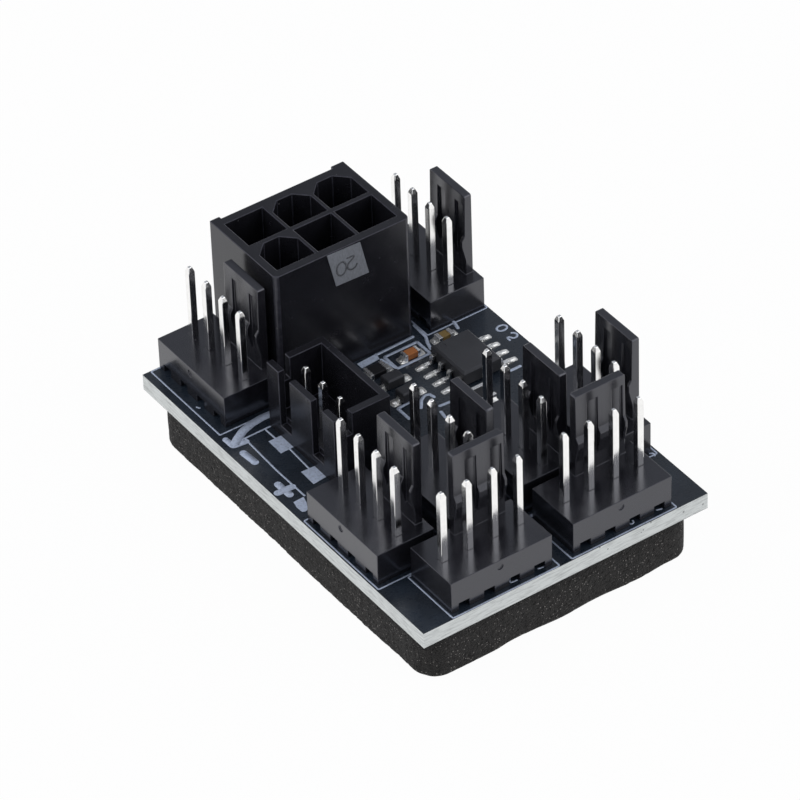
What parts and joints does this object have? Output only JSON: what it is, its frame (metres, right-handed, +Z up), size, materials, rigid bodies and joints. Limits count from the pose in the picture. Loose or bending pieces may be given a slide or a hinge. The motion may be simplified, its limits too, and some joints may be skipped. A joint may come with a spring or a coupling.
{
  "type": "pc fan controller hub",
  "caption": "Small black circuit board on a foam pad that carries rows of pins for fan plugs, a power socket and a boxed signal header.",
  "frame": {"origin": "middle of the foam pad's underside", "axes": "+X along the board's short edge, to the right seen from the two front headers; +Y along its long edge, from those headers to the power socket; +Z up, away from the pad"},
  "size_m": [0.029, 0.0423, 0.0194],
  "materials": {
    "board_laminate": "satin black solder mask with grey printed lines, pale cut edge",
    "foam": "soft closed-cell foam, slightly grained",
    "black_housing": "black moulded nylon, glossy on top, satin on the sides",
    "tinned_pin": "bright tin-plated brass",
    "solder": "soft grey solder",
    "chip_epoxy": "dark grey moulded epoxy, finely grained",
    "component_metal": "tinned, bright",
    "capacitor_ceramic": "tan ceramic, slightly glossy",
    "pale_capacitor_ceramic": "pale brown ceramic, slightly glossy",
    "resistor_glaze": "grey glaze",
    "sticker_paper": "plain grey paper"
  },
  "bodies": {
    "root": {"boxed_header_housing": "black_housing", "boxed_header_pins": "tinned_pin", "capacitor_1_body": "capacitor_ceramic", "capacitor_1_ends": "component_metal", "capacitor_2_body": "pale_capacitor_ceramic", "capacitor_2_ends": "component_metal", "chip_body": "chip_epoxy", "chip_leads": "component_metal", "circuit_board": "board_laminate", "diode_1_body": "chip_epoxy", "diode_1_leads": "component_metal", "diode_2_body": "chip_epoxy", "diode_2_leads": "component_metal", "fan_header_1_housing": "black_housing", "fan_header_1_pins": "tinned_pin", "fan_header_2_housing": "black_housing", "fan_header_2_pins": "tinned_pin", "fan_header_3_housing": "black_housing", "fan_header_3_pins": "tinned_pin", "fan_header_4_housing": "black_housing", "fan_header_4_pins": "tinned_pin", "fan_header_5_housing": "black_housing", "fan_header_5_pins": "tinned_pin", "fan_header_6_housing": "black_housing", "fan_header_6_pins": "tinned_pin", "fan_header_7_housing": "black_housing", "fan_header_7_pins": "tinned_pin", "fan_header_8_housing": "black_housing", "fan_header_8_pins": "tinned_pin", "foam_pad": "foam", "power_socket_housing": "black_housing", "power_socket_pins": "tinned_pin", "resistor_1_body": "resistor_glaze", "resistor_1_ends": "component_metal", "resistor_2_body": "resistor_glaze", "resistor_2_ends": "component_metal", "socket_sticker": "sticker_paper", "solder_joints": "solder", "surface_solder": "solder"}
  },
  "joints": []
}
